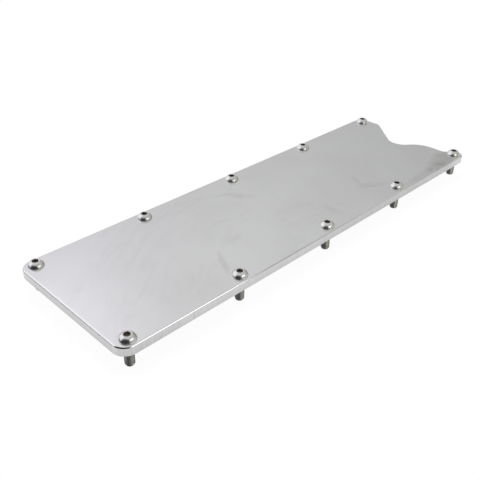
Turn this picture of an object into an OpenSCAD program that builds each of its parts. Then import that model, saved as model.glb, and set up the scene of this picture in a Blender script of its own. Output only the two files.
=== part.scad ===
// Valley cover for a V8 engine block: a polished aluminium plate with a scalloped rear end,
// ten button head screws and a round sealing cord in a groove on the underside.
// X runs towards the scalloped rear end, Y towards the left bank and Z up.
// The origin is the middle of the screw pattern on the underside of the plate.

/* [Plate] */
// Thickness of the plate
plate_t = 8; // [6:0.5:12]
// Width of the bevel around the top edge
bevel = 0.9; // [0.3:0.1:2.5]
// Screw axis to the long edge
side_margin = 9.5; // [8.5:0.5:14]
// Screw axis to the front edge
front_margin = 12; // [9:0.5:20]
// Screw axis to the rear edge of the lobes
rear_margin = 9; // [8.5:0.5:14]
// Radius of the two front corners
front_corner_r = 12; // [4:0.5:18]
// Radius of the outer corner of the left lobe
left_corner_r = 13; // [4:0.5:14]
// Radius of the outer corner of the right lobe
right_corner_r = 8; // [3:0.5:11]

/* [Screw pattern] */
// Distance between screws along a row
screw_pitch = 111.8; // [100:0.1:125]
// Distance between the two rows
row_span = 125; // [115:0.5:145]

/* [Scallop] */
// Depth of the scallop, from the lobes to where its two slopes would meet
scallop_depth = 39.5; // [30:0.5:46]
// Sideways place of the deepest point, from the middle of the plate
scallop_y = -3; // [-8:0.5:4]
// Radius at the bottom of the scallop
scallop_r = 16; // [8:0.5:20]
// Left row of screws to the place where the long slope reaches the left lobe
slope_gap = 19; // [17:0.5:26]
// Radius where the long slope turns onto the left lobe
slope_r = 9; // [4:0.5:14]
// How far the ledge lies ahead of the lobes
ledge_depth = 11; // [8:0.5:16]
// Sideways place where the short slope reaches the ledge
ledge_y = -21.5; // [-26:0.5:-18]
// Radius where the short slope turns onto the ledge
ledge_r = 30; // [12:0.5:34]
// Right row of screws to the place where the ledge ends at the right lobe
lobe_gap = 10.5; // [10:0.5:16]
// How far the flank of the right lobe runs sideways
lobe_flank = 5; // [2:0.5:7]
// Radius on both sides of that flank
lobe_r = 5; // [3:0.5:7]

/* [Screws] */
// Thread diameter
thread_d = 8; // [6:0.5:10]
// Diameter of the plain neck inside the plate
neck_d = 7.2; // [5:0.1:9.2]
// Length under the head
screw_len = 24; // [20:0.5:35]
// Diameter of the head
head_d = 14; // [11:0.25:16]
// Height of the head
head_h = 4.4; // [3.4:0.1:5.5]
// Diameter of the flat on top of the head
head_flat_d = 7.4; // [6.6:0.1:8.4]
// Height of the straight rim at the bottom of the head
head_rim_h = 0.5; // [0.3:0.1:0.8]
// Width across the flats of the hexagon socket
socket_af = 5; // [4:0.25:5.5]
// Depth of the hexagon socket
socket_depth = 2.6; // [1.8:0.1:2.8]
// Length of the bevel at the tip
tip_bevel = 1.3; // [0.4:0.1:1.6]
// Gap around the thread in its hole in the plate
hole_gap = 0.5; // [0.2:0.05:0.8]
// Bevel at both mouths of each hole
hole_bevel = 0.4; // [0.2:0.1:0.8]

/* [Seal] */
// Diameter of the sealing cord
cord_d = 3.5; // [2.6:0.1:4]
// Height of the cord that stands proud of the underside
cord_proud = 0.8; // [0.4:0.05:1.2]
// Gap on each side of the cord in its groove
cord_side_gap = 0.3; // [0.15:0.05:0.5]
// Rows of screws to the middle of the cord
cord_gap = 9.5; // [9:0.25:12]
// Radius of the cord at outer corners
cord_corner_r = 10; // [6:0.5:14]

/* [Hidden] */
ROW_SCREWS = 5;

eps = 0.01;
arc_step = 4;
cord_step = 6;
cord_facets = 12;
dome_facets = 96;
round_facets = 64;
max_share = 0.98;
socket_cone_h = 0.7;
socket_lead = 0.35;
socket_mouth_d = 6.4;
tip_slope = 0.8;

half_row = screw_pitch * (ROW_SCREWS - 1) / 2;
front_x = -half_row - front_margin;
rear_x = half_row + rear_margin;
edge_y = row_span / 2 + side_margin;
ledge_x = rear_x - ledge_depth;
lobe_y = -row_span / 2 + lobe_gap;
scallop_x = rear_x - scallop_depth;
slope_y = row_span / 2 - slope_gap;
hole_d = thread_d + 2 * hole_gap;
groove_w = cord_d + 2 * cord_side_gap;
groove_depth = cord_d - cord_proud;
cord_z = groove_depth - cord_d / 2;

// Outline corners, counter-clockwise from the front right one, each as [x, y, radius]
plate_corners = [
    [front_x, -edge_y, front_corner_r],
    [rear_x, -edge_y, right_corner_r],
    [rear_x, lobe_y - lobe_flank, lobe_r],
    [ledge_x, lobe_y, lobe_r],
    [ledge_x, ledge_y, ledge_r],
    [scallop_x, scallop_y, scallop_r],
    [rear_x, slope_y, slope_r],
    [rear_x, edge_y, left_corner_r],
    [front_x, edge_y, front_corner_r]
];

// The line that the cord runs along before it is inset: the outline without its two lobes
slope_run = (rear_x - scallop_x) / (slope_y - scallop_y);
cord_front_x = -half_row - side_margin;
cord_inset = side_margin + cord_gap;
cord_outline = [
    [cord_front_x, -edge_y, 0],
    [ledge_x, -edge_y, 0],
    [ledge_x, ledge_y, ledge_r],
    [scallop_x, scallop_y, scallop_r],
    [scallop_x + slope_run * (edge_y - scallop_y), edge_y, 0],
    [cord_front_x, edge_y, 0]
];
cord_corners = inset_corners(cord_outline, cord_inset, cord_corner_r);

// Point, direction and turn helpers for a closed list of corners
function xy(c) = [c[0], c[1]];
function at(list, i) = list[(i + len(list)) % len(list)];
function unit(v) = v / norm(v);
function left_of(v) = [-v[1], v[0]];
function edge(c, i) = xy(at(c, i + 1)) - xy(at(c, i));
function dir(c, i) = unit(edge(c, i));
function cross_z(a, b) = a[0] * b[1] - a[1] * b[0];
function turn(c, i) = atan2(cross_z(dir(c, i - 1), dir(c, i)), dir(c, i - 1) * dir(c, i));
function side_sign(c, i) = turn(c, i) > 0 ? 1 : -1;
function wanted_tangent(c, i) = at(c, i)[2] * tan(abs(turn(c, i)) / 2);

// Share of an edge that the roundings at its two ends may use, 1 where both fit
function edge_share(c, i) =
    min(1, max_share * norm(edge(c, i)) / (wanted_tangent(c, i) + wanted_tangent(c, i + 1)));
function corner_r(c, i) = at(c, i)[2] * min(edge_share(c, i - 1), edge_share(c, i));
function tangent(c, i) = corner_r(c, i) * tan(abs(turn(c, i)) / 2);
function arc_start(c, i) = xy(at(c, i)) - dir(c, i - 1) * tangent(c, i);
function arc_centre(c, i) = arc_start(c, i) + left_of(dir(c, i - 1)) * side_sign(c, i) * corner_r(c, i);
function start_angle(c, i) =
    let (away = -left_of(dir(c, i - 1)) * side_sign(c, i)) atan2(away[1], away[0]);

// Points of one rounded corner, moved inwards by inset
function corner_points(c, i, inset, step) =
    let (
        steps = max(2, ceil(abs(turn(c, i)) / step)),
        r = corner_r(c, i) - side_sign(c, i) * inset
    )
    [for (k = [0 : steps])
        let (a = start_angle(c, i) + turn(c, i) * k / steps)
        arc_centre(c, i) + r * [cos(a), sin(a)]];

function outline(c, inset = 0, step = arc_step) =
    [for (i = [0 : len(c) - 1]) each corner_points(c, i, inset, step)];

// Corners moved inwards by d, with roundings that stay parallel where they are wide enough
function inset_corners(c, d, min_r) = [
    for (i = [0 : len(c) - 1])
        let (
            n1 = left_of(dir(c, i - 1)),
            n2 = left_of(dir(c, i)),
            p = xy(at(c, i)) + (n1 + n2) * d / (1 + n1 * n2),
            r = at(c, i)[2] - side_sign(c, i) * d
        )
        [p[0], p[1], max(r, min_r)]
];

// Slab between two point rings that have the same number of points
module tapered_slab(low_ring, high_ring, z0, z1) {
    n = len(low_ring);
    polyhedron(
        points = concat([for (p = low_ring) [p[0], p[1], z0]], [for (p = high_ring) [p[0], p[1], z1]]),
        faces = concat(
            [[for (i = [0 : n - 1]) i]],
            [[for (i = [n - 1 : -1 : 0]) n + i]],
            [for (i = [0 : n - 1]) [i, n + i, n + (i + 1) % n, (i + 1) % n]]
        )
    );
}

// Puts its children on the axis of every screw
module at_screws() {
    for (side = [-1, 1], i = [0 : ROW_SCREWS - 1])
        translate([i * screw_pitch - half_row, side * row_span / 2, 0]) children();
}

module screw_hole() {
    translate([0, 0, -eps]) cylinder(d = hole_d, h = plate_t + 2 * eps, $fn = round_facets);
    translate([0, 0, -eps])
        cylinder(d1 = hole_d + 2 * (hole_bevel + eps), d2 = hole_d, h = hole_bevel + eps, $fn = round_facets);
    translate([0, 0, plate_t - hole_bevel])
        cylinder(d1 = hole_d, d2 = hole_d + 2 * (hole_bevel + eps), h = hole_bevel + eps, $fn = round_facets);
}

module cord_groove() {
    translate([0, 0, -eps]) linear_extrude(groove_depth + eps) difference() {
        polygon(outline(cord_corners, -groove_w / 2, cord_step));
        polygon(outline(cord_corners, groove_w / 2, cord_step));
    }
}

module cover_plate() {
    color("#c5c7ca") difference() {
        union() {
            linear_extrude(plate_t - bevel) polygon(outline(plate_corners));
            tapered_slab(outline(plate_corners), outline(plate_corners, bevel), plate_t - bevel, plate_t);
        }
        at_screws() screw_hole();
        cord_groove();
    }
}

// Round cord swept along the same line as its groove, one ring of points at each point of the line
module seal_cord() {
    line = outline(cord_corners, 0, cord_step);
    side = outline(cord_corners, cord_d / 2, cord_step);
    n = len(line);
    m = cord_facets;
    color("#1d1d1f") polyhedron(
        points = [
            for (i = [0 : n - 1], k = [0 : m - 1])
                let (p = line[i] + (side[i] - line[i]) * cos(360 * k / m))
                [p[0], p[1], cord_z + cord_d / 2 * sin(360 * k / m)]
        ],
        faces = [
            for (i = [0 : n - 1], k = [0 : m - 1])
                let (j = (i + 1) % n, l = (k + 1) % m)
                [i * m + k, j * m + k, j * m + l, i * m + l]
        ]
    );
}

// Centre height and radius of the dome that passes through the rim and the top flat
dome_z = (pow(head_flat_d / 2, 2) - pow(head_d / 2, 2) + pow(head_h, 2) - pow(head_rim_h, 2))
    / (2 * (head_h - head_rim_h));
dome_r = norm([head_d / 2, head_rim_h - dome_z]);

module head() {
    difference() {
        intersection() {
            cylinder(d = head_d, h = head_h, $fn = dome_facets);
            translate([0, 0, dome_z]) sphere(r = dome_r, $fn = dome_facets);
        }
        translate([0, 0, head_h - socket_depth])
            cylinder(d = socket_af / cos(30), h = socket_depth + eps, $fn = 6);
        translate([0, 0, head_h - socket_depth - socket_cone_h])
            cylinder(d1 = 0, d2 = socket_af, h = socket_cone_h + eps, $fn = round_facets);
        translate([0, 0, head_h - socket_lead])
            cylinder(d1 = socket_af, d2 = socket_mouth_d, h = socket_lead + eps, $fn = round_facets);
    }
}

// Plain neck inside the plate, then the threaded length at its full diameter and a bevelled tip
module shank() {
    translate([0, 0, -plate_t]) cylinder(d = neck_d, h = plate_t + eps, $fn = round_facets);
    translate([0, 0, -screw_len + tip_bevel])
        cylinder(d = thread_d, h = screw_len - tip_bevel - plate_t, $fn = round_facets);
    translate([0, 0, -screw_len])
        cylinder(d1 = thread_d - 2 * tip_slope * tip_bevel, d2 = thread_d, h = tip_bevel, $fn = round_facets);
}

module screw(i, side) {
    color("#8d8e90") translate([(i - 1) * screw_pitch - half_row, side * row_span / 2, plate_t]) {
        head();
        shank();
    }
}

cover_plate();
seal_cord();
for (i = [1 : ROW_SCREWS]) {
    screw(i, 1);
    screw(i, -1);
}
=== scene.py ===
"""Valley cover: a polished plate with a scalloped end, its button head screws and its sealing cord."""

import math

import bmesh
import bpy
from mathutils import Matrix, Vector
from mathutils.geometry import tessellate_polygon


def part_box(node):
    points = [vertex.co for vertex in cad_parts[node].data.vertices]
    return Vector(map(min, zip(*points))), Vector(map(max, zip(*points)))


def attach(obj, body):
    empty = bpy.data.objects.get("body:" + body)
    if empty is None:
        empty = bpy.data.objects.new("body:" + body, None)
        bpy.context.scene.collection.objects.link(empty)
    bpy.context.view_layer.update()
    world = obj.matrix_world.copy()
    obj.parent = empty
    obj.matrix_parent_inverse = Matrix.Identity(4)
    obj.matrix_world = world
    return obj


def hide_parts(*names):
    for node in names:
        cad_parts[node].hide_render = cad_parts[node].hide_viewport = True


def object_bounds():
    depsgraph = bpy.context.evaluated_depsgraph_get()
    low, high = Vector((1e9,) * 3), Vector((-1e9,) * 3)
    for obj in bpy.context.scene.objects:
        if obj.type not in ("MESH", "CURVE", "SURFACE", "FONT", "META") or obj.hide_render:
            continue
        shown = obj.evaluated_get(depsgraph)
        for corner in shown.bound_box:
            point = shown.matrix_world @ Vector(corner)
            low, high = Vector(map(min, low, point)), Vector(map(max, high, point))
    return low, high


bl_info = {
    "name": "Valley Cover",
    "version": (1, 0, 0),
    "blender": (4, 5, 0),
    "location": "View3D > Sidebar > Valley Cover",
    "description": "Builds a polished valley cover with its screws, its seal and a plain studio",
    "category": "Add Mesh",
}

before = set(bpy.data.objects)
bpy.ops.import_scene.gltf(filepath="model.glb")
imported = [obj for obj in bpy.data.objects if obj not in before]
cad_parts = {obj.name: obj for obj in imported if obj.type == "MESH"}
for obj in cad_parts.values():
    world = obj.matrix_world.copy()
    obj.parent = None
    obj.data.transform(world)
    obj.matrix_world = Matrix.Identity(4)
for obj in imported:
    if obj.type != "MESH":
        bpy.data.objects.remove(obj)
CAD_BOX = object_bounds()
BODY = "root"

MM = 0.001
COLUMNS, ROWS = 5, 2
SCREW_NODES = [f"screw_{side}_{i + 1}" for side in ("left", "right") for i in range(COLUMNS)]
PLATE_LOW, PLATE_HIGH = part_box("cover_plate")
SEAL_LOW, SEAL_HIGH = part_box("seal_cord")
SCREW_LOW, SCREW_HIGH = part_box(SCREW_NODES[0])
LAST_LOW, LAST_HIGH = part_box(SCREW_NODES[-1])
FIRST_SCREW = (SCREW_LOW + SCREW_HIGH) / 2
LAST_SCREW = (LAST_LOW + LAST_HIGH) / 2
PLATE_TOP = PLATE_HIGH.z

# ways that the points of a skin can face, as angles from level
UP, LEVEL, DOWN = math.pi / 2, 0.0, -math.pi / 2


def length(name, text, default):
    """A size in metres that a user can change."""
    return bpy.props.FloatProperty(
        name=name, description=text, default=default, min=0.0, precision=5, subtype="DISTANCE", unit="LENGTH"
    )


def place(name, text, default):
    """A signed place in metres."""
    return bpy.props.FloatProperty(
        name=name, description=text, default=default, precision=5, subtype="DISTANCE", unit="LENGTH"
    )


def angle(name, text, default):
    return bpy.props.FloatProperty(name=name, description=text, default=default, precision=4, subtype="ANGLE")


def share(name, text, default):
    return bpy.props.FloatProperty(name=name, description=text, default=default, min=0.0, max=1.0)


def colour(name, text, default):
    return bpy.props.FloatVectorProperty(
        name=name, description=text, default=default, size=3, min=0.0, max=1.0, subtype="COLOR"
    )


def count(name, text, default):
    return bpy.props.IntProperty(name=name, description=text, default=default, min=3)


class PlateSizes(bpy.types.PropertyGroup):
    """Sizes of the plate"""

    bevel: length("Bevel", "Width of the bevel round the top edge", 0.9 * MM)
    edge_round: length("Edge round", "Radius that polishing leaves on each edge", 0.22 * MM)
    crown: angle("Crown", "How far polishing has rounded the bevel towards the wall", math.radians(12))
    roll_off: length("Roll-off", "Width in which polishing has rolled the top off at the bevel", 1.1 * MM)
    roll_tilt: angle("Roll tilt", "How far the rolled-off top leans out at the bevel", math.radians(7))
    front_corner: length("Front corners", "Radius of the two front corners", 12 * MM)
    left_corner: length("Left corner", "Radius of the outer corner of the left lobe", 13 * MM)
    right_corner: length("Right corner", "Radius of the outer corner of the right lobe", 8 * MM)
    scallop_depth: length("Scallop depth", "From the lobes to where the slopes would meet", 39.5 * MM)
    scallop_y: place("Scallop place", "Sideways place of the deepest point", -3 * MM)
    scallop_round: length("Scallop round", "Radius at the bottom of the scallop", 16 * MM)
    slope_gap: length("Slope gap", "Left row of screws to the end of the long slope", 19 * MM)
    slope_round: length("Slope round", "Radius where the long slope turns onto the left lobe", 9 * MM)
    ledge_depth: length("Ledge depth", "How far the ledge lies ahead of the lobes", 11 * MM)
    ledge_y: place("Ledge place", "Sideways place where the short slope reaches the ledge", -21.5 * MM)
    ledge_round: length("Ledge round", "Radius where the short slope turns onto the ledge", 30 * MM)
    lobe_gap: length("Lobe gap", "Right row of screws to the end of the ledge", 10.5 * MM)
    lobe_flank: length("Lobe flank", "How far the flank of the right lobe runs sideways", 5 * MM)
    lobe_round: length("Lobe round", "Radius on both sides of that flank", 5 * MM)
    hole: length("Hole", "Diameter of each screw hole", 9 * MM)
    hole_bevel: length("Hole bevel", "Bevel at the mouths of each hole", 0.4 * MM)
    arc_step: angle("Arc step", "Turn between two points of a rounded corner", math.radians(2))
    hole_facets: count("Hole facets", "Facets round a screw hole", 48)


class SealSizes(bpy.types.PropertyGroup):
    """Sizes of the sealing cord and its groove"""

    cord: length("Cord", "Diameter of the cord", SEAL_HIGH.z - SEAL_LOW.z)
    side_gap: length("Side gap", "Gap on each side of the cord in its groove", 0.3 * MM)
    row_gap: length("Row gap", "Rows of screws to the middle of the cord", 9.5 * MM)
    corner: length("Corner", "Radius of the cord at outer corners", 10 * MM)
    facets: count("Facets", "Facets round the cord", 20)


class ScrewSizes(bpy.types.PropertyGroup):
    """Sizes of a button head screw"""

    head: length("Head", "Diameter of the head", SCREW_HIGH.x - SCREW_LOW.x)
    head_height: length("Head height", "Height of the head", SCREW_HIGH.z - PLATE_TOP)
    head_flat: length("Head flat", "Diameter of the flat on top", 7.4 * MM)
    rim: length("Rim", "Height of the straight rim of the head", 0.5 * MM)
    edge_round: length("Edge round", "Radius that polishing leaves on the head's edges", 0.18 * MM)
    socket: length("Socket", "Width across the flats of the hexagon", 5 * MM)
    socket_mouth: length("Socket mouth", "Diameter of the bevelled mouth of the hexagon", 6.4 * MM)
    socket_depth: length("Socket depth", "Depth of the hexagon", 2.6 * MM)
    drill_depth: length("Drill depth", "Depth of the cone below the hexagon", 0.7 * MM)
    thread: length("Thread", "Outer diameter of the thread", 8 * MM)
    pitch: length("Pitch", "Rise of the thread in one turn", 1.25 * MM)
    thread_depth: length("Thread depth", "Height of the thread from root to crest", 0.767 * MM)
    neck: length("Neck", "Diameter under the head and at the tip", 6.4 * MM)
    run_out: length("Run-out", "Under the head to the start of the thread", 0.8 * MM)
    tip_bevel: length("Tip bevel", "Length of the bevel at the tip", 1.3 * MM)
    facets: count("Facets", "Facets round the screw", 48)
    spread: angle("Spread", "How far the sockets are turned at random", math.radians(60))


class FinishColours(bpy.types.PropertyGroup):
    """Colours of the finishes"""

    plate: colour("Plate", "Polished aluminium", (0.81, 0.813, 0.815))
    smeared: colour("Smears", "Aluminium under handling marks", (0.50, 0.50, 0.478))
    # the milled colour is partly a duller milled finish and partly painted shade, darker for the greys that
    # the walls reflect
    milled_and_shaded: colour("Milled", "Aluminium of the milled walls", (0.735, 0.729, 0.732))
    steel: colour("Steel", "Polished stainless steel", (0.76, 0.75, 0.74))
    thread: colour("Thread", "Unpolished steel of the thread", (0.46, 0.45, 0.42))
    # the socket colour is painted shade: it darkens the inside of the hexagon recess
    socket: colour("Socket", "Oiled steel inside the hexagon", (0.32, 0.29, 0.24))
    rubber: colour("Rubber", "Black rubber of the cord", (0.018, 0.018, 0.020))
    floor: colour("Floor", "Pale studio floor", (0.90, 0.90, 0.90))


class StudioSetup(bpy.types.PropertyGroup):
    """Camera and lamps"""

    camera: bpy.props.FloatVectorProperty(
        name="Camera", description="Place of the camera", size=3, precision=5, subtype="TRANSLATION",
        default=(-0.41714, -0.36447, 0.31688),
    )
    yaw: angle("Yaw", "Turn of the view from along the cover towards the left", math.radians(44.735))
    pitch: angle("Pitch", "How far the view looks down", math.radians(32.670))
    roll: angle("Roll", "Lean of the camera", math.radians(-1.048))
    lens: bpy.props.FloatProperty(name="Lens", description="Focal length in mm", default=48.92, min=1.0)
    floor_size: length("Floor size", "Side of the floor", 12.0)
    shine_through: share("Backdrop share", "How much of the floor shows plain white", 0.96)


# ---------------------------------------------------------------- outlines and skins

# most of a straight run that the roundings at its two ends may take up
MAX_SHARE = 0.98

# distance of a rounding's middle from both faces that it joins, as a share of its radius
ROUNDING_CUT = 0.293


def corner_arcs(corners):
    """Centre, radius, side, first angle and turn of the rounding at each corner of a closed outline."""
    total = len(corners)
    spots = [Vector(c[:2]) for c in corners]
    runs = [spots[(i + 1) % total] - spots[i] for i in range(total)]
    ways = [run.normalized() for run in runs]
    turns = [math.atan2(ways[i - 1].cross(ways[i]), ways[i - 1].dot(ways[i])) for i in range(total)]
    wanted = [c[2] * math.tan(abs(turn) / 2) for c, turn in zip(corners, turns)]
    shares = [
        min(1.0, MAX_SHARE * run.length / (here + after))
        for run, here, after in zip(runs, wanted, wanted[1:] + wanted[:1])
    ]
    arcs = []
    for i, turn in enumerate(turns):
        radius = corners[i][2] * min(shares[i - 1], shares[i])
        side = 1 if turn > 0 else -1
        inward = Vector((-ways[i - 1].y, ways[i - 1].x)) * side
        start = spots[i] - ways[i - 1] * radius * math.tan(abs(turn) / 2)
        arcs.append((start + inward * radius, radius, side, math.atan2(-inward.y, -inward.x), turn))
    return arcs


def outline(arcs, inset, step):
    """Points of a rounded outline moved inwards, each with the way it faces."""
    line = []
    for centre, radius, side, first, turn in arcs:
        steps = max(2, math.ceil(abs(turn) / step))
        for k in range(steps + 1):
            a = first + turn * k / steps
            spoke = Vector((math.cos(a), math.sin(a)))
            line.append((centre + spoke * (radius - side * inset), spoke * side))
    return line


def inward(line):
    """The same points facing the other way, as on the wall of a hole."""
    return [(spot, -way) for spot, way in line]


def circle(centre, radius, facets):
    line = []
    for k in range(facets):
        spoke = Vector((math.cos(math.tau * k / facets), math.sin(math.tau * k / facets)))
        line.append((centre + spoke * radius, spoke))
    return line


def inset_corners(corners, inset, least):
    """Corners moved inwards, with roundings that stay parallel where they are wide enough."""
    moved = []
    total = len(corners)
    for i, corner in enumerate(corners):
        here, before, after = (Vector(corners[k % total][:2]) for k in (i, i - 1, i + 1))
        way_in, way_out = (here - before).normalized(), (after - here).normalized()
        left_in, left_out = Vector((-way_in.y, way_in.x)), Vector((-way_out.y, way_out.x))
        spot = here + (left_in + left_out) * inset / (1 + left_in.dot(left_out))
        side = 1 if way_in.cross(way_out) > 0 else -1
        moved.append((spot.x, spot.y, max(corner[2] - side * inset, least)))
    return moved


class Skin:
    """Corners, normals and faces of one closed mesh, laid ring by ring."""

    def __init__(self):
        self.spots, self.facing, self.faces, self.milled_and_shaded = [], [], [], []

    def ring(self, line, height, tilt):
        """Adds a closed ring; tilt turns the way that its points face up or down from level.

        Only what faces up is polished; walls and the underside are left as milled and marked for the wall
        colour, which is partly painted shade.
        """
        first = len(self.spots)
        for spot, way in line:
            self.spots.append((spot.x, spot.y, height))
            self.facing.append((way.x * math.cos(tilt), way.y * math.cos(tilt), math.sin(tilt)))
            self.milled_and_shaded.append(float(tilt <= LEVEL))
        return list(range(first, len(self.spots)))

    def band(self, near, far):
        """Joins two rings of as many points."""
        for i in range(len(near)):
            j = (i + 1) % len(near)
            self.faces.append((near[i], near[j], far[j], far[i]))

    def chain(self, rings):
        for near, far in zip(rings, rings[1:]):
            self.band(near, far)

    def fill(self, rings, facing):
        """Closes the flat area inside the first ring and outside the others."""
        order = [corner for ring in rings for corner in ring]
        for triangle in tessellate_polygon([[Vector(self.spots[c]) for c in ring] for ring in rings]):
            a, b, c = (order[k] for k in triangle)
            first, second, third = (Vector(self.spots[k]) for k in (a, b, c))
            up = (second - first).cross(third - first).z
            self.faces.append((a, b, c) if up * facing > 0 else (a, c, b))

    def build(self, name):
        mesh = bpy.data.meshes.new(name)
        mesh.from_pydata(self.spots, [], self.faces)
        mesh.shade_smooth()
        mesh.normals_split_custom_set_from_vertices(self.facing)
        mesh.attributes.new("milled_and_shaded", "FLOAT", "POINT").data.foreach_set("value", self.milled_and_shaded)
        return mesh


def plate_corners(sizes):
    """Outline of the plate, counter-clockwise from its front right corner."""
    front, rear = PLATE_LOW.x, PLATE_HIGH.x
    right, left = PLATE_LOW.y, PLATE_HIGH.y
    ledge, bottom = rear - sizes.ledge_depth, rear - sizes.scallop_depth
    lobe_y = LAST_SCREW.y + sizes.lobe_gap
    slope_y = FIRST_SCREW.y - sizes.slope_gap
    return [
        (front, right, sizes.front_corner),
        (rear, right, sizes.right_corner),
        (rear, lobe_y - sizes.lobe_flank, sizes.lobe_round),
        (ledge, lobe_y, sizes.lobe_round),
        (ledge, sizes.ledge_y, sizes.ledge_round),
        (bottom, sizes.scallop_y, sizes.scallop_round),
        (rear, slope_y, sizes.slope_round),
        (rear, left, sizes.left_corner),
        (front, left, sizes.front_corner),
    ]


def seal_corners(sizes, seal):
    """Line of the cord: the outline without its two lobes, inside the screws."""
    corners = plate_corners(sizes)
    right, left = PLATE_LOW.y, PLATE_HIGH.y
    ledge, bottom, lobe = corners[4], corners[5], corners[6]
    side_margin = PLATE_HIGH.y - FIRST_SCREW.y
    front = FIRST_SCREW.x - side_margin
    slope = (lobe[0] - bottom[0]) / (lobe[1] - bottom[1])
    line = [
        (front, right, 0.0),
        (ledge[0], right, 0.0),
        ledge,
        bottom,
        (bottom[0] + slope * (left - bottom[1]), left, 0.0),
        (front, left, 0.0),
    ]
    return inset_corners(line, side_margin + seal.row_gap, seal.corner)


def screw_spots():
    spots = []
    for node in SCREW_NODES:
        low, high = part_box(node)
        spots.append(((low + high) / 2).to_2d())
    return spots


def plate_mesh(sizes, seal):
    """The plate with its bevelled edge, screw holes and seal groove."""
    skin = Skin()
    arcs = corner_arcs(plate_corners(sizes))
    top, bevel, soft, step = PLATE_TOP, sizes.bevel, sizes.edge_round, sizes.arc_step
    # the roundings of the bevel's two edges end this far from them, level and along the slope
    reach = soft * math.tan(math.pi / 8)
    slant = reach * math.sqrt(0.5)
    levels = [
        (soft, 0.0, DOWN),
        (soft * ROUNDING_CUT, soft * ROUNDING_CUT, DOWN / 2),
        (0.0, soft, LEVEL),
        (0.0, top - bevel - reach, LEVEL),
        (slant, top - bevel + slant, UP / 2 - sizes.crown),
        (bevel - slant, top - slant, UP / 2 + sizes.crown / 3),
        (bevel + reach, top, UP - sizes.roll_tilt),
        (bevel + sizes.roll_off / 3, top, UP - sizes.roll_tilt / 2),
        (bevel + sizes.roll_off, top, UP),
    ]
    edge = [skin.ring(outline(arcs, inset, step), height, tilt) for inset, height, tilt in levels]
    skin.chain(edge)

    radius, lead = sizes.hole / 2, sizes.hole_bevel
    mouths = [
        (radius + lead, 0.0, DOWN),
        (radius, lead, LEVEL),
        (radius, top - lead, LEVEL),
        (radius + lead, top, UP),
    ]
    holes = []
    for spot in screw_spots():
        rings = [skin.ring(inward(circle(spot, r, sizes.hole_facets)), z, tilt) for r, z, tilt in mouths]
        skin.chain(rings[::-1])
        holes.append(rings)

    half = seal.cord / 2 + seal.side_gap
    roof, tiny = SEAL_HIGH.z, sizes.edge_round / 2
    groove = corner_arcs(seal_corners(sizes, seal))
    walls = [
        (-half - tiny, 0.0, DOWN, inward),
        (-half, tiny, LEVEL, inward),
        (-half, roof - tiny, LEVEL, inward),
        (-half + tiny, roof, DOWN, inward),
        (half - tiny, roof, DOWN, list),
        (half, roof - tiny, LEVEL, list),
        (half, tiny, LEVEL, list),
        (half + tiny, 0.0, DOWN, list),
    ]
    channel = [
        skin.ring(face(outline(groove, inset, step)), height, tilt) for inset, height, tilt, face in walls
    ]
    skin.chain(channel[::-1])

    skin.fill([edge[-1]] + [rings[-1] for rings in holes], 1)
    skin.fill([edge[0], channel[0]] + [rings[0] for rings in holes], -1)
    skin.fill([channel[-1]], -1)
    return skin.build("plate")


# ---------------------------------------------------------------- screws

DOME_STEPS = 10
HALF_SIDE = math.pi / 6  # half the angle that one side of a hexagon takes
THREAD_FLANK = math.pi / 6  # lean of both flanks of a thread
CREST_SHARE = 1 / 8  # share of the pitch that the flat crest of a thread takes
DRILL_SHARE = 0.98  # width of the cone under the hexagon, as a share of the hexagon's
LIP_SHADE = 0.6  # how far the bevelled mouth of the hexagon takes the painted shade of the inside, where 1 is the inside
HEAD_SHARP, THREAD_SHARP = math.radians(32), math.radians(75)  # edges that turn further stay sharp
TIP_LAYER = 0.1 * MM  # the end face of the screw lies within this height
MERGE_REACH, SLIVER = 0.002 * MM, 0.001 * MM
SOCKET_SEED = 4


def dome_rings(sizes):
    """Radius and height of each ring of the head, from under its rim to its flat."""
    rim_r, flat_r, high, rim, soft = (
        sizes.head / 2, sizes.head_flat / 2, sizes.head_height, sizes.rim, sizes.edge_round
    )
    centre = (flat_r**2 - rim_r**2 + high**2 - rim**2) / (2 * (high - rim))
    radius = math.hypot(rim_r, rim - centre)
    first = math.atan2(rim - centre, rim_r) + soft / radius
    last = math.atan2(high - centre, flat_r) - soft / radius
    bend = soft * 0.3
    rings = [(rim_r - soft, 0.0), (rim_r - bend, bend), (rim_r, soft), (rim_r, rim - soft)]
    for k in range(DOME_STEPS + 1):
        a = first + (last - first) * k / DOME_STEPS
        rings.append((radius * math.cos(a), centre + radius * math.sin(a)))
    rings.append((flat_r - soft, high))
    return rings


def hexagon_radius(sizes, a):
    part = (a + HALF_SIDE) % (2 * HALF_SIDE) - HALF_SIDE
    return sizes.socket / 2 / math.cos(HALF_SIDE - abs(part))


def flank_share(sizes):
    """Share of the pitch that one flank of the thread takes."""
    return sizes.thread_depth * math.tan(THREAD_FLANK) / sizes.pitch


def thread_radius(sizes, a, height, low, high):
    """Radius of the thread at one angle and height, run out to the neck at both ends."""
    crest, neck = sizes.thread / 2, sizes.neck / 2
    flank = flank_share(sizes)
    phase = (height / sizes.pitch - a / math.tau) % 1.0
    if phase <= CREST_SHARE:
        drop = 0.0
    elif phase <= CREST_SHARE + flank:
        drop = (phase - CREST_SHARE) / flank
    elif phase <= 1 - flank:
        drop = 1.0
    else:
        drop = (1 - phase) / flank
    slope = (crest - neck) / sizes.tip_bevel
    return min(crest - drop * sizes.thread_depth, neck + (height - low) * slope, neck + (high - height))


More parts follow.
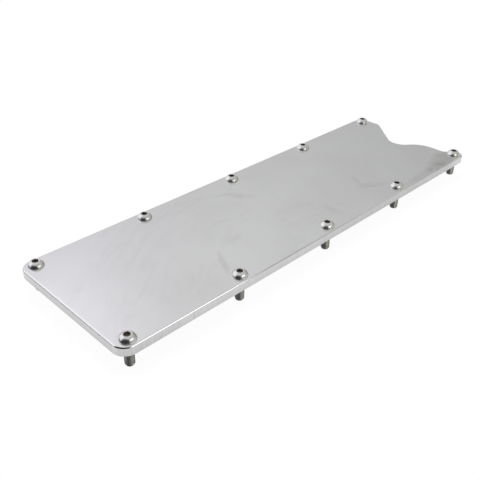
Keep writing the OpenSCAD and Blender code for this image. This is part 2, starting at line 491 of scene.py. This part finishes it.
class Screw:
    """Skin of one screw, its head sitting on the plate and its axis at the origin."""

    def __init__(self, sizes):
        self.sizes, self.made = sizes, bmesh.new()
        layers = self.made.verts.layers.float
        self.polish, self.socket = layers.new("polish"), layers.new("socket")
        self.angles = [math.tau * k / sizes.facets for k in range(sizes.facets)]
        self.low_end, self.high_end = SCREW_LOW.z - PLATE_TOP, -sizes.run_out

    def corner(self, radius, a, height, polish=1.0, socket=0.0):
        vertex = self.made.verts.new((radius * math.cos(a), radius * math.sin(a), PLATE_TOP + height))
        vertex[self.polish], vertex[self.socket] = polish, socket
        return vertex

    def band(self, low, high, round_about=True):
        """Joins two rings, or two rows that start and end at the same angle."""
        for i in range(self.sizes.facets):
            j = (i + 1) % self.sizes.facets if round_about else i + 1
            self.made.faces.new((low[i], low[j], high[j], high[i]))

    def add_head(self):
        """The neck, the domed head and the hexagon with its drilled cone."""
        sizes, corner, angles = self.sizes, self.corner, self.angles
        neck, high, mouth = sizes.neck / 2, sizes.head_height, sizes.socket_mouth / 2
        deep = high - sizes.socket_depth
        rings = [[corner(neck, a, height, polish=0.0) for a in angles] for height in (self.high_end, 0.0)]
        rings += [[corner(r, a, z) for a in angles] for r, z in dome_rings(sizes)]
        rings.append([corner(mouth, a, high) for a in angles])
        hexagon = [(hexagon_radius(sizes, a), a) for a in angles]
        # points of the hexagon, and partly those of its mouth, take the painted shade of the socket
        rings.append([corner(r, a, high - (mouth - r) / 2, socket=LIP_SHADE) for r, a in hexagon])
        rings.append([corner(r, a, deep, socket=1.0) for r, a in hexagon])
        rings.append([corner(sizes.socket / 2 * DRILL_SHARE, a, deep, socket=1.0) for a in angles])
        for low, top in zip(rings, rings[1:]):
            self.band(low, top)
        bottom = corner(0.0, 0.0, deep - sizes.drill_depth, socket=1.0)
        for i in range(sizes.facets):
            self.made.faces.new((rings[-1][i], rings[-1][(i + 1) % sizes.facets], bottom))

    def add_thread(self):
        """A helical thread, whose rows climb by one pitch in a turn, down to the tip."""
        sizes, low_end, high_end = self.sizes, self.low_end, self.high_end
        phases = [0.0, CREST_SHARE, CREST_SHARE + flank_share(sizes), 1 - flank_share(sizes)]
        turns = math.ceil((high_end - low_end) / sizes.pitch) + 1
        first_turn = math.floor(low_end / sizes.pitch) - 1
        rows = []
        for level in [first_turn + turn + phase for turn in range(turns + 2) for phase in phases]:
            row = []
            for a in [*self.angles, math.tau]:
                height = min(high_end, max(low_end, sizes.pitch * (level + a / math.tau)))
                radius = thread_radius(sizes, a, height, low_end, high_end)
                row.append(self.corner(radius, a, height, polish=0.0))
            rows.append(row)
        for low, top in zip(rows, rows[1:]):
            self.band(low, top, round_about=False)
        tip = self.corner(0.0, 0.0, low_end, polish=0.0)
        for i in range(sizes.facets):
            self.made.faces.new((rows[0][i + 1], rows[0][i], tip))

    def build(self, name):
        """Closes the seams, shades the faces smooth between sharp edges and makes a mesh of it."""
        made = self.made
        bmesh.ops.remove_doubles(made, verts=made.verts, dist=MERGE_REACH)
        bmesh.ops.dissolve_degenerate(made, dist=SLIVER, edges=made.edges)
        for face in made.faces:
            face.smooth = True
        for edge in made.edges:
            threaded = all(v[self.polish] < 0.5 and v.co.z > SCREW_LOW.z + TIP_LAYER for v in edge.verts)
            edge.smooth = edge.calc_face_angle(0.0) < (THREAD_SHARP if threaded else HEAD_SHARP)
        mesh = bpy.data.meshes.new(name)
        made.to_mesh(mesh)
        made.free()
        return mesh


def screw_mesh(sizes):
    """One screw with its socket and a real helical thread."""
    screw = Screw(sizes)
    screw.add_head()
    screw.add_thread()
    return screw.build("screw")


# ---------------------------------------------------------------- node helpers


class Nodes:
    """Adds nodes to one tree: settings first, then the values or links of its sockets."""

    def __init__(self, tree):
        self.tree = tree

    def add(self, kind, settings=None, **sockets):
        node = self.tree.nodes.new(kind)
        for name, value in (settings or {}).items():
            setattr(node, name, value)
        for name, value in sockets.items():
            self.feed(node.inputs[int(name[1:]) if name[1:].isdigit() else name.replace("_", " ")], value)
        return node

    def feed(self, socket, value):
        if isinstance(value, Value):
            value = value.socket
        if isinstance(value, bpy.types.NodeSocket):
            self.tree.links.new(value, socket)
        elif value is not None:
            socket.default_value = value

    def value(self, kind, settings=None, out=0, **sockets):
        return Value(self, self.add(kind, settings, **sockets).outputs[out])

    def maths(self, operation, *terms):
        terms = {f"_{index}": term for index, term in enumerate(terms)}
        return self.value("ShaderNodeMath", {"operation": operation}, 0, **terms)

    def vectors(self, operation, *terms):
        terms = {f"_{index}": term for index, term in enumerate(terms)}
        out = "Value" if operation in ("LENGTH", "DOT_PRODUCT") else "Vector"
        return self.value("ShaderNodeVectorMath", {"operation": operation}, out, **terms)

    def mix(self, factor, low, high):
        """Mixes two colours."""
        node = self.add("ShaderNodeMix", {"data_type": "RGBA"})
        for index, value in ((0, factor), (6, low), (7, high)):
            single = isinstance(value, (Value, bpy.types.NodeSocket, float))
            self.feed(node.inputs[index], value if single else (*value, 1.0))
        return Value(self, node.outputs[2])

    def ramp(self, factor, low, high, ends=(0.0, 1.0)):
        """A smooth step of a value from one level to another."""
        return self.value(
            "ShaderNodeMapRange", {"interpolation_type": "SMOOTHSTEP"},
            _0=factor, _1=low, _2=high, _3=ends[0], _4=ends[1],
        )

    def span(self, factor, start, full, fading, end):
        """1 while a value is between two levels, fading to 0 on both sides of them."""
        return self.ramp(factor, start, full) * self.ramp(factor, end, fading)

    def noise(self, vector, scale, detail=3.0, roughness=0.5, distortion=0.0):
        return self.value(
            "ShaderNodeTexNoise", None, 0, Vector=vector, Scale=scale, Detail=detail,
            Roughness=roughness, Distortion=distortion,
        )

    def bump(self, height, strength):
        return self.value("ShaderNodeBump", None, 0, Strength=strength, Distance=0.1 * MM, Height=height)


class Value:
    """A socket whose maths is written as an expression."""

    def __init__(self, nodes, socket):
        self.nodes, self.socket = nodes, socket

    def __add__(self, other):
        return self.nodes.maths("ADD", self, other)

    def __sub__(self, other):
        return self.nodes.maths("SUBTRACT", self, other)

    def __rsub__(self, other):
        return self.nodes.maths("SUBTRACT", other, self)

    def __mul__(self, other):
        return self.nodes.maths("MULTIPLY", self, other)

    def __truediv__(self, other):
        return self.nodes.maths("DIVIDE", self, other)

    def __rtruediv__(self, other):
        return self.nodes.maths("DIVIDE", other, self)

    __radd__, __rmul__ = __add__, __mul__


def new_material(name):
    """An empty material, its node helper, its surface shader and the coordinates of its object."""
    material = bpy.data.materials.new(name)
    material.use_nodes = True
    nodes = Nodes(material.node_tree)
    shader = material.node_tree.nodes["Principled BSDF"]
    spot = nodes.value("ShaderNodeTexCoord", None, "Object")
    return material, nodes, shader, spot


# ---------------------------------------------------------------- finishes

BLACK, WHITE = (0.0, 0.0, 0.0), (1.0, 1.0, 1.0)
OILY_THREAD = (0.30, 0.295, 0.26)
BLOOM = (0.045, 0.045, 0.046)

# point on the floor that the arcs of the polishing wheel go round
WHEEL_CENTRE = (-0.050, -0.165, 0.0)

# how closely the streaks lie across the arcs (per metre) and break off round them (per radian)
STREAKS_ACROSS, STREAKS_ROUND = 75.0, 4.0

# patterns per metre along x, y and z: scratches run along the plate, cutter marks stand up on its walls
SCRATCH_SCALE, TEETH_SCALE = (60.0, 2600.0, 60.0), (900.0, 900.0, 30.0)

# how far the rims of the handling marks are torn
RAGGED = 12 * MM

# handling marks on the plate: middle x and y, angle, half length, half width (mm, degrees) and strength
SMEARS = [
    (-110.0, -41.5, 60.0, 23.0, 4.2, 0.34),
    (-80.0, -21.0, 12.0, 18.0, 5.0, 0.16),
    (-18.0, 31.0, -50.0, 18.0, 6.0, 0.30),
    (-28.0, 44.0, -28.0, 20.0, 3.5, 0.16),
    (26.5, -47.0, 90.0, 20.0, 7.0, 0.20),
    (95.0, -44.0, -34.0, 19.0, 6.0, 0.32),
    (91.5, -27.0, 58.0, 14.0, 4.0, 0.20),
    (165.0, -68.0, 3.0, 60.0, 9.0, 0.45),
    (200.0, -62.0, 12.0, 40.0, 15.0, 0.65),
]


def smear(x, y, mark):
    """1 in the middle of an oval handling mark, fading to 0 at its rim."""
    middle_x, middle_y, turned, long, wide, strength = mark
    a = math.radians(turned)
    along = ((x - middle_x * MM) * math.cos(a) + (y - middle_y * MM) * math.sin(a)) / (long * MM)
    across = ((y - middle_y * MM) * math.cos(a) - (x - middle_x * MM) * math.sin(a)) / (wide * MM)
    return x.nodes.ramp(along * along + across * across, 1.0, 0.0, (0.0, strength))


def round_the_wheel(nodes, spot):
    """Coordinates for streaks along the wide arcs in which the plate was polished."""
    arm = nodes.vectors("SUBTRACT", spot, WHEEL_CENTRE)
    split = nodes.add("ShaderNodeSeparateXYZ", None, Vector=arm)
    reach = nodes.vectors("LENGTH", arm)
    turned = nodes.maths("ARCTAN2", split.outputs["Y"], split.outputs["X"])
    return nodes.value("ShaderNodeCombineXYZ", None, 0, X=reach * STREAKS_ACROSS, Y=turned * STREAKS_ROUND)


def polished_aluminium(colours):
    """Machine-polished plate with clouds, streaks, handling marks and fine scratches; milled walls, partly
    darkened with painted shade.
    """
    material, nodes, shader, spot = new_material("polished_aluminium")
    milled_and_shaded = nodes.value("ShaderNodeAttribute", {"attribute_name": "milled_and_shaded"}, "Fac")
    cloud = nodes.noise(spot, 14.0, 4.0, 0.55)
    swirl = nodes.noise(round_the_wheel(nodes, spot), 1.0, 3.0, 0.6, 1.4)
    patchy = nodes.noise(spot, 150.0, 3.0, 0.6)
    split = nodes.add("ShaderNodeSeparateXYZ", None, Vector=spot)
    torn = (patchy - 0.5) * RAGGED
    x, y = torn + split.outputs["X"], torn + split.outputs["Y"]
    marks = sum(smear(x, y, mark) for mark in SMEARS)
    marks = marks * nodes.ramp(patchy, 0.30, 0.60, (0.65, 1.0)) * nodes.ramp(swirl, 0.34, 0.62, (1.0, 0.55))
    stretched = nodes.value("ShaderNodeMapping", None, 0, Vector=spot, Scale=SCRATCH_SCALE)
    scratch = nodes.noise(stretched, 1.0, 2.0, 0.6)
    streaks = nodes.ramp(swirl, 0.40, 0.70, (0.0, 0.09)) * nodes.ramp(cloud, 0.3, 0.6)
    streaks = streaks * nodes.ramp(split.outputs["X"], -0.04, 0.06, (1.0, 0.35))
    shade = nodes.ramp(cloud, 0.35, 0.68, (0.0, 0.10)) + streaks + marks
    polished = nodes.mix(shade, colours.plate, colours.smeared)
    upright = nodes.value("ShaderNodeMapping", None, 0, Vector=spot, Scale=TEETH_SCALE)
    teeth = nodes.ramp(nodes.noise(upright, 1.0, 2.0), 0.35, 0.65, (0.90, 1.0))
    # cutter marks on the walls, whose darker colour is partly painted shade
    wall = nodes.mix(teeth, BLACK, colours.milled_and_shaded)
    nodes.feed(shader.inputs["Base Color"], nodes.mix(milled_and_shaded, polished, wall))
    nodes.feed(shader.inputs["Metallic"], 1.0)
    rough = 0.10 + cloud * 0.04 + marks * 0.05 + scratch * 0.05 + milled_and_shaded * 0.20
    nodes.feed(shader.inputs["Roughness"], rough)
    nodes.feed(shader.inputs["Normal"], nodes.bump(scratch, 0.02))
    return material


def stainless_steel(colours):
    """Bright polished heads, sockets darkened with painted shade and plain grey threads."""
    material, nodes, shader, spot = new_material("stainless_steel")
    polish = nodes.value("ShaderNodeAttribute", {"attribute_name": "polish"}, "Fac")
    socket = nodes.value("ShaderNodeAttribute", {"attribute_name": "socket"}, "Fac")
    grain = nodes.noise(spot, 900.0, 3.0, 0.6)
    oil = nodes.noise(spot, 240.0, 3.0, 0.55)
    bright = nodes.ramp(polish, 0.4, 0.6)
    # painted shade inside the hexagon recess: a darker, browner colour there
    inside = nodes.ramp(socket, 0.1, 0.7)
    thread = nodes.mix(nodes.ramp(oil, 0.35, 0.70, (0.0, 0.6)), colours.thread, OILY_THREAD)
    metal = nodes.mix(bright, thread, colours.steel)
    nodes.feed(shader.inputs["Base Color"], nodes.mix(inside, metal, colours.socket))
    nodes.feed(shader.inputs["Metallic"], 1.0)
    nodes.feed(shader.inputs["Roughness"], 0.34 - bright * 0.17 + inside * 0.20 + grain * 0.10)
    nodes.feed(shader.inputs["Normal"], nodes.bump(grain, 0.18))
    return material


def seal_rubber(colours):
    """Matt black cord with a fine grain and a faint bloom."""
    material, nodes, shader, spot = new_material("seal_rubber")
    grain = nodes.noise(spot, 2200.0, 2.0, 0.6)
    bloom = nodes.ramp(nodes.noise(spot, 60.0, 3.0), 0.45, 0.75, (0.0, 0.5))
    nodes.feed(shader.inputs["Base Color"], nodes.mix(bloom, colours.rubber, BLOOM))
    nodes.feed(shader.inputs["Roughness"], 0.46 + bloom * 0.2 + grain * 0.08)
    nodes.feed(shader.inputs["Normal"], nodes.bump(grain, 0.12))
    return material


# ---------------------------------------------------------------- geometry trees


def new_tree(name, inputs):
    """An empty Geometry Nodes tree with named inputs, its helper and the node that holds them."""
    tree = bpy.data.node_groups.new(name, "GeometryNodeTree")
    tree.interface.new_socket("Geometry", in_out="INPUT", socket_type="NodeSocketGeometry")
    for label, kind in inputs:
        tree.interface.new_socket(label, in_out="INPUT", socket_type=kind)
    tree.interface.new_socket("Geometry", in_out="OUTPUT", socket_type="NodeSocketGeometry")
    nodes = Nodes(tree)
    return tree, nodes, nodes.add("NodeGroupInput").outputs


def screw_rows_tree():
    """Stands one screw on every point of a grid, each turned a little differently."""
    tree, nodes, given = new_tree("screw_rows", [
        ("Screw", "NodeSocketObject"), ("Length", "NodeSocketFloat"), ("Span", "NodeSocketFloat"),
        ("Columns", "NodeSocketInt"), ("Rows", "NodeSocketInt"), ("Spread", "NodeSocketFloat"),
        ("Seed", "NodeSocketInt"), ("Material", "NodeSocketMaterial"),
    ])
    grid = nodes.value(
        "GeometryNodeMeshGrid", None, "Mesh", Size_X=given["Length"], Size_Y=given["Span"],
        Vertices_X=given["Columns"], Vertices_Y=given["Rows"],
    )
    screw = nodes.value("GeometryNodeObjectInfo", None, "Geometry", Object=given["Screw"])
    turn = nodes.value(
        "FunctionNodeRandomValue", {"data_type": "FLOAT"}, 1, _2=0.0, _3=given["Spread"], Seed=given["Seed"],
    )
    about = nodes.value("ShaderNodeCombineXYZ", None, 0, Z=turn)
    stood = nodes.value("GeometryNodeInstanceOnPoints", None, 0, Points=grid, Instance=screw, Rotation=about)
    solid = nodes.value("GeometryNodeRealizeInstances", None, 0, Geometry=stood)
    done = nodes.value("GeometryNodeSetMaterial", None, 0, Geometry=solid, Material=given["Material"])
    nodes.add("NodeGroupOutput", None, Geometry=done)
    return tree


def cord_tree():
    """Sweeps a round section along a closed line of edges."""
    tree, nodes, given = new_tree("cord", [
        ("Diameter", "NodeSocketFloat"), ("Facets", "NodeSocketInt"), ("Material", "NodeSocketMaterial"),
    ])
    radius = nodes.value("ShaderNodeMath", {"operation": "MULTIPLY"}, _0=given["Diameter"], _1=0.5)
    path = nodes.value("GeometryNodeMeshToCurve", None, 0, Mesh=given["Geometry"])
    ring = nodes.value("GeometryNodeCurvePrimitiveCircle", None, 0, Resolution=given["Facets"], Radius=radius)
    swept = nodes.value("GeometryNodeCurveToMesh", None, 0, Curve=path, Profile_Curve=ring)
    solid = nodes.value("GeometryNodeRealizeInstances", None, 0, Geometry=swept)
    done = nodes.value("GeometryNodeSetMaterial", None, 0, Geometry=solid, Material=given["Material"])
    nodes.add("NodeGroupOutput", None, Geometry=done)
    return tree


def grow(name, mesh, tree, values):
    """Runs a tree on a mesh and returns its result as a plain object."""
    seedling = bpy.data.objects.new(name + "_seedling", mesh)
    bpy.context.scene.collection.objects.link(seedling)
    modifier = seedling.modifiers.new("tree", "NODES")
    modifier.node_group = tree
    for item in tree.interface.items_tree:
        if item.in_out == "INPUT" and item.name in values:
            modifier[item.identifier] = values[item.name]
    seedling.update_tag()
    bpy.context.view_layer.update()
    depsgraph = bpy.context.evaluated_depsgraph_get()
    grown = bpy.data.meshes.new_from_object(seedling.evaluated_get(depsgraph), depsgraph=depsgraph)
    seedling.modifiers.remove(modifier)
    bpy.data.objects.remove(seedling)
    grown.name = name
    return add_object(name, grown)


def add_object(name, data):
    made = bpy.data.objects.new(name, data)
    bpy.context.scene.collection.objects.link(made)
    return made


def settle(piece, slot, *nodes):
    """Ties a finished piece to the body and hides the nodes that it stands for; its slot is not used."""
    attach(piece, BODY)
    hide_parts(*nodes)


# ---------------------------------------------------------------- studio

# name, azimuth and elevation seen from the cover (degrees), distance (m), size (m), power (W), mirrored
LAMPS = [
    ("lamp_right", 273.5, 32.4, 0.63, (0.50, 0.17), 0.38, True),
    ("lamp_left", 116.0, 27.0, 1.70, (1.35, 1.20), 6.5, False),
    ("lamp_top", 45.0, 80.0, 2.00, (1.50, 1.50), 30.0, False),
]

# ends on the floor, left and right as seen from the cover, height (m) and colour of the dark screen
SCREEN_ENDS = ((-0.55, 0.10), (-0.26, -0.32))
SCREEN_HEIGHT = 0.31
SCREEN_COLOUR = (0.035, 0.035, 0.033, 1.0)

DEGREES = 180.0 / math.pi

# azimuth at which the count of degrees round the cover starts again, at its right rear
SEAM = 340.0

# brightness of the room at the horizon; each step has the azimuths where it starts and ends and its change
ROOM_LEVEL = 0.505
ROOM_STEPS = [
    (20.0, 50.0, 0.11),
    (48.0, 62.0, 0.05),
    (150.0, 240.0, -0.235),
    (311.0, 325.0, 0.17),
    (12.0, -18.0, 0.095),
]
CEILING_LEVEL = 0.68
WHITE_WALL_LEVEL = 1.10

# stretches in degrees: where each starts, is full, begins to fade and ends
LEFT_SIDE = (-5.0, 25.0, 150.0, 240.0)
WHITE_WALL, WHITE_WALL_HEIGHT = (76.0, 100.0, 150.0, 168.0), (5.0, 12.0, 42.0, 52.0)
BEHIND_CAMERA = (152.0, 176.0, 232.0, 254.0)
DARK_FLOOR = (124.0, 131.0, 250.0, 262.0)
DIM_FLOOR = (188.0, 196.0, 202.0, 212.0)

# how much the painted dark stretch of floor, the room behind the camera and the painted shadow under the
# plate take away
FLOOR_LOSS, BEHIND_LOSS, SHADE_LOSS = 0.9, 0.8, 0.7
SHADE_EDGE = 20 * MM
COOLNESS = 0.033


def direction(azimuth, elevation):
    """Unit vector from degrees round from along the cover and degrees above the floor."""
    a, e = math.radians(azimuth), math.radians(elevation)
    return Vector((math.cos(a) * math.cos(e), math.sin(a) * math.cos(e), math.sin(e)))


def azimuth_of(nodes, way):
    """Degrees round from along the cover, counted on from the seam."""
    axes = (tuple(direction(azimuth, 0.0)) for azimuth in (SEAM - 180.0, SEAM - 90.0))
    ahead, aside = (nodes.vectors("DOT_PRODUCT", way, axis) for axis in axes)
    return nodes.maths("ARCTAN2", aside, ahead) * DEGREES + (SEAM - 180.0)


def light_path(nodes):
    """What kind of ray asks for a colour: Is Camera Ray and so on."""
    return nodes.add("ShaderNodeLightPath").outputs


def seen_directly(nodes):
    """1 for rays that show the background: from the camera, in a reflection or through glass."""
    path = light_path(nodes)
    total = Value(nodes, path["Is Camera Ray"]) + path["Is Glossy Ray"]
    return nodes.maths("MINIMUM", total + path["Is Transmission Ray"], 1.0)


def for_mirrors(nodes, colour):
    """A colour that only reflections show; the camera itself sees plain white."""
    return nodes.mix(light_path(nodes)["Is Camera Ray"], colour, WHITE)


def grey(nodes, level, cool=0.0):
    """A grey that turns a little bluish, or a little warm where cool is below 0."""
    green, blue = level * (1.0 - cool * 0.35), level * (1.0 + cool)
    return nodes.value("ShaderNodeCombineXYZ", None, 0, X=level, Y=green, Z=blue)


def mix_surfaces(nodes, share, first, second):
    """Mixes the surfaces of two shader nodes."""
    return nodes.add("ShaderNodeMixShader", None, _0=share, _1=first.outputs[0], _2=second.outputs[0])


def sheet(name, corners, material):
    """A flat four-sided piece of the studio."""
    mesh = bpy.data.meshes.new(name)
    mesh.from_pydata(corners, [], [(0, 1, 2, 3)])
    mesh.materials.append(material)
    made = add_object(name, mesh)
    return made


def make_floor(setup, colours):
    """A pale floor that keeps the cover's shadow and is clear from below; reflections see it with painted
    shade.
    """
    material, nodes, shader, spot = new_material("studio_floor")
    nodes.feed(shader.inputs["Base Color"], (*colours.floor, 1.0))
    nodes.feed(shader.inputs["Roughness"], 0.9)
    nodes.feed(shader.inputs["Specular IOR Level"], 0.0)
    parts = nodes.add("ShaderNodeSeparateXYZ", None, Vector=spot)
    x, y = (nodes.maths("ABSOLUTE", parts.outputs[axis]) for axis in "XY")
    away = nodes.vectors("LENGTH", spot)
    azimuth = azimuth_of(nodes, spot)
    # painted shade that only reflections see: stretches of floor darker round the cover, and a painted shadow
    # under the plate
    dark = nodes.span(azimuth, *DARK_FLOOR) * nodes.ramp(away, 0.30, 0.42)
    under = nodes.ramp(x, PLATE_HIGH.x + SHADE_EDGE, PLATE_HIGH.x)
    under = under * nodes.ramp(y, PLATE_HIGH.y + SHADE_EDGE, PLATE_HIGH.y)
    dim = nodes.span(azimuth, *DIM_FLOOR)
    level = nodes.ramp(azimuth, 212.0, 320.0, (1.0, 0.86))
    level = level * (1.0 - dark * FLOOR_LOSS) * (1.0 - under * SHADE_LOSS) * (1.0 - dim * 0.13)
    white = nodes.add("ShaderNodeEmission", None, Color=for_mirrors(nodes, grey(nodes, level)), Strength=1.0)
    lit = mix_surfaces(nodes, seen_directly(nodes) * setup.shine_through, shader, white)
    back = Value(nodes, nodes.add("ShaderNodeNewGeometry").outputs["Backfacing"])
    below = back * light_path(nodes)["Is Camera Ray"]
    done = mix_surfaces(nodes, below, lit, nodes.add("ShaderNodeBsdfTransparent"))
    nodes.feed(material.node_tree.nodes["Material Output"].inputs["Surface"], done.outputs[0])
    half, height = setup.floor_size / 2, CAD_BOX[0].z
    corners = [(-half, -half), (half, -half), (half, half), (-half, half)]
    sheet("floor", [(*corner, height) for corner in corners], material)


def make_surroundings():
    """The room that the polished metal shows: brighter to the left, dark behind the camera."""
    world = bpy.data.worlds.new("studio")
    bpy.context.scene.world = world
    world.use_nodes = True
    nodes = Nodes(world.node_tree)
    way = nodes.value("ShaderNodeTexCoord", None, "Generated")
    elevation = nodes.maths("ARCSINE", nodes.value("ShaderNodeSeparateXYZ", None, "Z", Vector=way)) * DEGREES
    azimuth = azimuth_of(nodes, way)
    room = ROOM_LEVEL
    for start, end, change in ROOM_STEPS:
        room = room + nodes.ramp(azimuth, start, end, (0.0, change))
    aloft = nodes.ramp(elevation, 20.0, 36.0, (0.0, 0.12))
    aloft = aloft + nodes.ramp(azimuth, 50.0, 72.0, (0.0, 0.38)) * nodes.ramp(elevation, 31.0, 40.0)
    room = room + aloft * nodes.span(azimuth, *LEFT_SIDE)
    ceiling = nodes.ramp(elevation, 42.0, 66.0)
    room = room * (1.0 - ceiling) + ceiling * CEILING_LEVEL
    wall = nodes.span(azimuth, *WHITE_WALL) * nodes.span(elevation, *WHITE_WALL_HEIGHT)
    room = room * (1.0 - wall) + wall * WHITE_WALL_LEVEL
    behind = nodes.span(azimuth, *BEHIND_CAMERA) * nodes.ramp(elevation, 56.0, 44.0)
    skirting = nodes.span(azimuth, *DARK_FLOOR) * nodes.ramp(elevation, 14.0, 9.0)
    rear = nodes.ramp(azimuth, 58.0, 40.0) + nodes.ramp(azimuth, 325.0, 338.0)
    low_rear = rear * nodes.ramp(elevation, 17.0, 8.0, (0.0, 0.45))
    room = room * (1.0 - behind * BEHIND_LOSS) * (1.0 - skirting * FLOOR_LOSS) * (1.0 - low_rear)
    cool = nodes.ramp(azimuth, 44.0, 62.0) - nodes.ramp(azimuth, 150.0, 240.0, (0.0, 2.0))
    background = world.node_tree.nodes["Background"]
    nodes.feed(background.inputs["Strength"], 1.0)
    nodes.feed(background.inputs["Color"], for_mirrors(nodes, grey(nodes, room, cool * COOLNESS)))


def make_screen():
    """The dark screen near the front right corner that the nearer screws mirror."""
    left, right = (Vector((*end, 0.0)) for end in SCREEN_ENDS)
    low, high = CAD_BOX[0].z, CAD_BOX[0].z + SCREEN_HEIGHT
    material, nodes, shader, spot = new_material("studio_screen")
    along = right - left
    ahead = nodes.vectors("SUBTRACT", spot, tuple(left))
    part = nodes.vectors("DOT_PRODUCT", ahead, tuple(along / along.length_squared))
    height = nodes.value("ShaderNodeSeparateXYZ", None, "Z", Vector=spot)
    there = nodes.span(part, 0.0, 0.12, 0.88, 1.0) * nodes.ramp(height, high, low + SCREEN_HEIGHT * 0.7)
    dark = nodes.add("ShaderNodeEmission", None, Color=SCREEN_COLOUR, Strength=1.0)
    mixed = mix_surfaces(nodes, there, nodes.add("ShaderNodeBsdfTransparent"), dark)
    nodes.feed(material.node_tree.nodes["Material Output"].inputs["Surface"], mixed.outputs[0])
    material.node_tree.nodes.remove(shader)
    corners = [(*end, low) for end in SCREEN_ENDS] + [(*end, high) for end in reversed(SCREEN_ENDS)]
    screen = sheet("screen", corners, material)
    screen.visible_camera = screen.visible_diffuse = screen.visible_shadow = False


def make_lamp(name, azimuth, elevation, distance, size, power, mirrored):
    lamp = bpy.data.lights.new(name, "AREA")
    lamp.shape = "RECTANGLE"
    lamp.size, lamp.size_y = size
    lamp.energy = power
    made = add_object(name, lamp)
    way = direction(azimuth, elevation)
    made.location = way * distance
    made.visible_glossy = mirrored
    made.rotation_euler = way.to_track_quat("Z", "Y").to_euler()


def make_camera(setup):
    yaw, pitch, roll = setup.yaw, setup.pitch, setup.roll
    forward = Vector((math.cos(yaw) * math.cos(pitch), math.sin(yaw) * math.cos(pitch), -math.sin(pitch)))
    level = Vector((math.sin(yaw), -math.cos(yaw), 0.0))
    down = forward.cross(level)
    right = level * math.cos(roll) + down * math.sin(roll)
    up = level * math.sin(roll) - down * math.cos(roll)
    camera = bpy.data.cameras.new("camera")
    camera.lens, camera.sensor_width = setup.lens, 36.0
    camera.clip_start, camera.clip_end = 0.01, 50.0
    made = add_object("camera", camera)
    axes = Matrix((right, up, -forward)).transposed().to_4x4()
    made.matrix_world = Matrix.Translation(Vector(setup.camera)) @ axes
    bpy.context.scene.camera = made


# ---------------------------------------------------------------- operators


class VALLEY_OT_plate(bpy.types.Operator):
    """Builds the polished plate with its scalloped end"""

    bl_idname = "valley.plate"
    bl_label = "Plate"

    def execute(self, context):
        scene = context.scene
        mesh = plate_mesh(scene.valley_plate, scene.valley_seal)
        mesh.materials.append(polished_aluminium(scene.valley_finish))
        settle(add_object("plate", mesh), "polished_aluminium", "cover_plate")
        return {"FINISHED"}


class VALLEY_OT_seal(bpy.types.Operator):
    """Lays the sealing cord into its groove"""

    bl_idname = "valley.seal"
    bl_label = "Seal"

    def execute(self, context):
        scene = context.scene
        sizes, seal = scene.valley_plate, scene.valley_seal
        line = outline(corner_arcs(seal_corners(sizes, seal)), 0.0, sizes.arc_step)
        height = (SEAL_LOW.z + SEAL_HIGH.z) / 2
        total = len(line)
        mesh = bpy.data.meshes.new("cord_line")
        edges = [(i, (i + 1) % total) for i in range(total)]
        mesh.from_pydata([(spot.x, spot.y, height) for spot, _ in line], edges, [])
        rubber = seal_rubber(scene.valley_finish)
        values = {"Diameter": seal.cord, "Facets": seal.facets, "Material": rubber}
        cord = grow("seal", mesh, cord_tree(), values)
        cord.data.shade_smooth()
        settle(cord, "seal_rubber", "seal_cord")
        return {"FINISHED"}


class VALLEY_OT_screws(bpy.types.Operator):
    """Stands the button head screws in both rows of holes"""

    bl_idname = "valley.screws"
    bl_label = "Screws"

    def execute(self, context):
        scene = context.scene
        sizes = scene.valley_screw
        pattern = add_object("screw_pattern", screw_mesh(sizes))
        steel = stainless_steel(scene.valley_finish)
        values = {
            "Screw": pattern, "Length": LAST_SCREW.x - FIRST_SCREW.x, "Span": FIRST_SCREW.y - LAST_SCREW.y,
            "Columns": COLUMNS, "Rows": ROWS, "Spread": sizes.spread, "Seed": SOCKET_SEED, "Material": steel,
        }
        screws = grow("screws", bpy.data.meshes.new("empty"), screw_rows_tree(), values)
        bpy.data.objects.remove(pattern)
        settle(screws, "stainless_steel", *SCREW_NODES)
        return {"FINISHED"}


class VALLEY_OT_studio(bpy.types.Operator):
    """Sets up the floor, the surroundings, the lamps and the camera"""

    bl_idname = "valley.studio"
    bl_label = "Studio"

    def execute(self, context):
        scene = context.scene
        setup = scene.valley_studio
        scene.view_settings.view_transform = "Standard"
        make_floor(setup, scene.valley_finish)
        make_surroundings()
        make_screen()
        for lamp in LAMPS:
            make_lamp(*lamp)
        make_camera(setup)
        return {"FINISHED"}


class VIEW3D_PT_valley_cover(bpy.types.Panel):
    """Lists the steps that build the cover"""

    bl_label = "Valley Cover"
    bl_idname = "VIEW3D_PT_valley_cover"
    bl_space_type = "VIEW_3D"
    bl_region_type = "UI"
    bl_category = "Valley Cover"

    def draw(self, context):
        for step, groups in STEPS.items():
            box = self.layout.box()
            box.operator(step)
            for group in groups:
                data = getattr(context.scene, group)
                for name in data.__annotations__:
                    box.prop(data, name)


# each step of the panel with the groups of sizes and colours that it reads
STEPS = {
    "valley.plate": ["valley_plate"],
    "valley.seal": ["valley_seal"],
    "valley.screws": ["valley_screw"],
    "valley.studio": ["valley_studio", "valley_finish"],
}
GROUPS = {
    "valley_plate": PlateSizes,
    "valley_seal": SealSizes,
    "valley_screw": ScrewSizes,
    "valley_finish": FinishColours,
    "valley_studio": StudioSetup,
}
OPERATORS = [VALLEY_OT_plate, VALLEY_OT_seal, VALLEY_OT_screws, VALLEY_OT_studio]
CLASSES = [*GROUPS.values(), *OPERATORS, VIEW3D_PT_valley_cover]


def register():
    for made in CLASSES:
        bpy.utils.register_class(made)
    for name, group in GROUPS.items():
        setattr(bpy.types.Scene, name, bpy.props.PointerProperty(type=group))


def unregister():
    for name in GROUPS:
        delattr(bpy.types.Scene, name)
    for made in reversed(CLASSES):
        bpy.utils.unregister_class(made)


def main():
    register()
    bpy.ops.valley.plate()
    bpy.ops.valley.seal()
    bpy.ops.valley.screws()
    bpy.ops.valley.studio()


if __name__ == "__main__":
    main()
